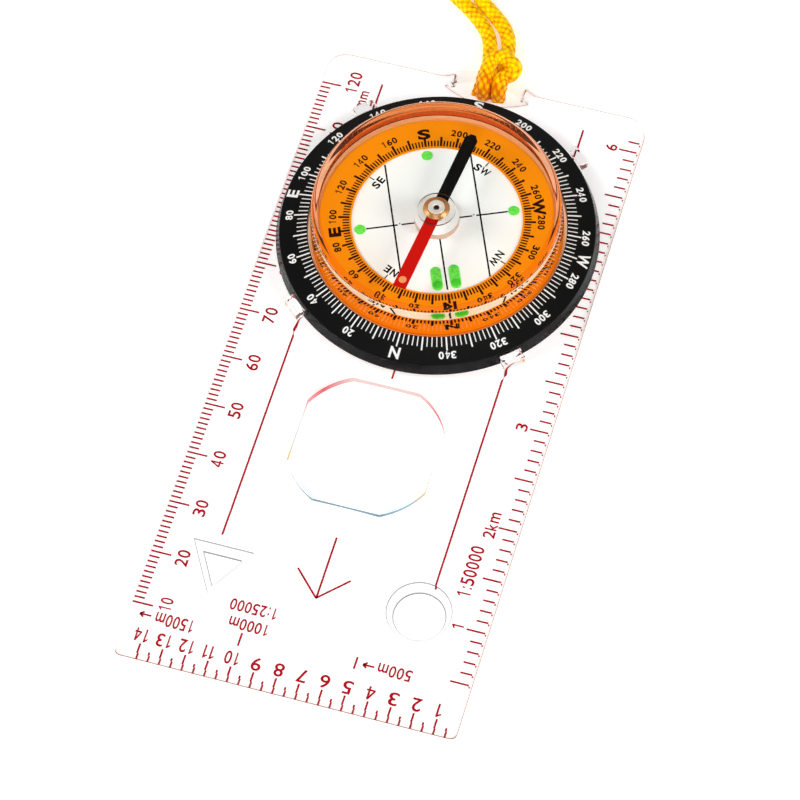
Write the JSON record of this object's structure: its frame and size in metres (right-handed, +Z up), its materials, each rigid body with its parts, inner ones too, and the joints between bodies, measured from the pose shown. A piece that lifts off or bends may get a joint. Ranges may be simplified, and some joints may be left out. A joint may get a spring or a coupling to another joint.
{
  "type": "baseplate compass",
  "caption": "Clear flat baseplate compass with printed map scales, a turning bezel, a liquid-filled dial capsule with a balanced needle, a magnifier, plotting holes and a yellow neck lanyard.",
  "frame": {"origin": "middle of the plate's footprint, tab included, on its underside", "axes": "+Z up out of the dial, +Y from the pointer end to the lanyard end, +X to the plate's right-hand edge"},
  "size_m": [0.0825, 0.1981, 0.0122],
  "materials": {
    "clear_acrylic": "polished",
    "black_plastic": "satin top, glossy drafted side",
    "clear_capsule": "polished",
    "seal_rubber": "matte",
    "orange_dial": "printed, glossy",
    "green_lume": "matte luminous",
    "pin_steel": "polished",
    "liquid": "clear",
    "needle_paint": "black half and red half, gloss paint",
    "jewel": "polished",
    "orange_lume": "matte luminous",
    "yellow_cord": "braided"
  },
  "bodies": {
    "baseplate": {"baseplate": "clear_acrylic", "lanyard_hitch": "yellow_cord", "lanyard_strand_left": "yellow_cord", "lanyard_strand_right": "yellow_cord", "lanyard_coil": "yellow_cord"},
    "bezel": {"bezel_ring": "black_plastic"},
    "capsule": {"capsule_cover": "clear_capsule", "capsule_base": "clear_capsule", "base_gasket": "seal_rubber", "fill_plug": "black_plastic", "dial_ring": "orange_dial", "lume_bar_left": "green_lume", "lume_bar_right": "green_lume", "lume_dot_east": "green_lume", "lume_dot_south": "green_lume", "lume_dot_west": "green_lume", "pivot_pin": "pin_steel", "damping_liquid": "liquid"},
    "needle": {"needle_blade": "needle_paint", "needle_hub": "clear_capsule", "jewel_cup": "jewel", "needle_lume_dot": "orange_lume"}
  },
  "joints": [
    {"name": "bezel_turn", "type": "hinge", "parent": "baseplate", "child": "bezel", "pos_m": [0, 0.0285, 0], "axis": [0, 0, 1], "continuous": true},
    {"name": "capsule_turn", "type": "hinge", "parent": "baseplate", "child": "capsule", "pos_m": [0, 0.0285, 0], "axis": [0, 0, 1], "continuous": true},
    {"name": "needle_spin", "type": "hinge", "parent": "capsule", "child": "needle", "pos_m": [0, 0.0285, 0], "axis": [0, 0, 1], "continuous": true}
  ]
}
